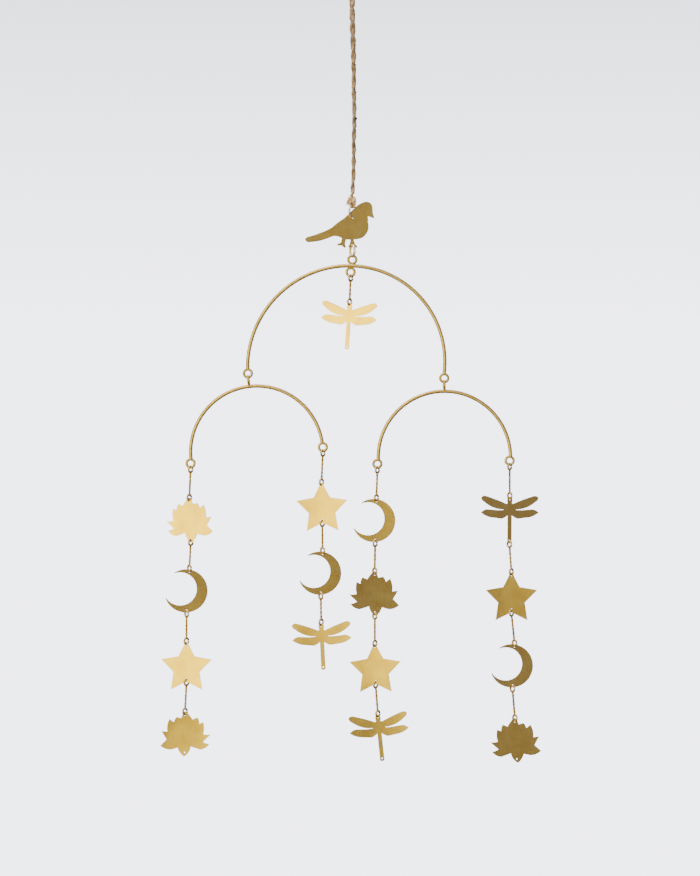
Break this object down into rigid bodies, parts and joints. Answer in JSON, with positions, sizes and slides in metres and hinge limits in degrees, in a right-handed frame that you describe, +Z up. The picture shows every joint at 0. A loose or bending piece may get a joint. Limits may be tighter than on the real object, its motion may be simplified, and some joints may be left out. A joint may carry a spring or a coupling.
{
  "type": "hanging mobile",
  "caption": "Brass hanging mobile: a cut-sheet bird on jute twine carries wire arches, from which strands of dragonfly, star, moon and lotus plates hang on fine chain.",
  "frame": {"origin": "where a hook bears on the inside of the twine's top loop", "axes": "+Z up along the hanging twine; -Y towards the viewer, out of the flat front of the plates; +X to the viewer's right"},
  "size_m": [0.3034, 0.0174, 0.6605],
  "materials": {
    "jute": "rough two-ply jute twine",
    "brass_rod": "drawn round wire, lightly aged",
    "brass_wire": "thin pale wire, satin",
    "brass_sheet": "cut sheet, brushed"
  },
  "bodies": {
    "root": {"jute_cord": "jute", "hanging_loop": "jute", "lower_knot": "jute", "back_link": "brass_wire", "bird": "brass_sheet", "foot_link": "brass_wire", "arch_large": "brass_rod", "arch_left": "brass_rod", "arch_right": "brass_rod", "chain_middle_1": "brass_wire", "dragonfly_middle_1": "brass_sheet", "chain_left_outer_1": "brass_wire", "lotus_left_outer_1": "brass_sheet", "chain_left_outer_2": "brass_wire", "moon_left_outer_2": "brass_sheet", "chain_left_outer_3": "brass_wire", "star_left_outer_3": "brass_sheet", "chain_left_outer_4": "brass_wire", "lotus_left_outer_4": "brass_sheet", "chain_left_inner_1": "brass_wire", "star_left_inner_1": "brass_sheet", "chain_left_inner_2": "brass_wire", "moon_left_inner_2": "brass_sheet", "chain_left_inner_3": "brass_wire", "dragonfly_left_inner_3": "brass_sheet", "chain_right_inner_1": "brass_wire", "moon_right_inner_1": "brass_sheet", "chain_right_inner_2": "brass_wire", "lotus_right_inner_2": "brass_sheet", "chain_right_inner_3": "brass_wire", "star_right_inner_3": "brass_sheet", "chain_right_inner_4": "brass_wire", "dragonfly_right_inner_4": "brass_sheet", "chain_right_outer_1": "brass_wire", "dragonfly_right_outer_1": "brass_sheet", "chain_right_outer_2": "brass_wire", "star_right_outer_2": "brass_sheet", "chain_right_outer_3": "brass_wire", "moon_right_outer_3": "brass_sheet", "chain_right_outer_4": "brass_wire", "lotus_right_outer_4": "brass_sheet"}
  },
  "joints": []
}
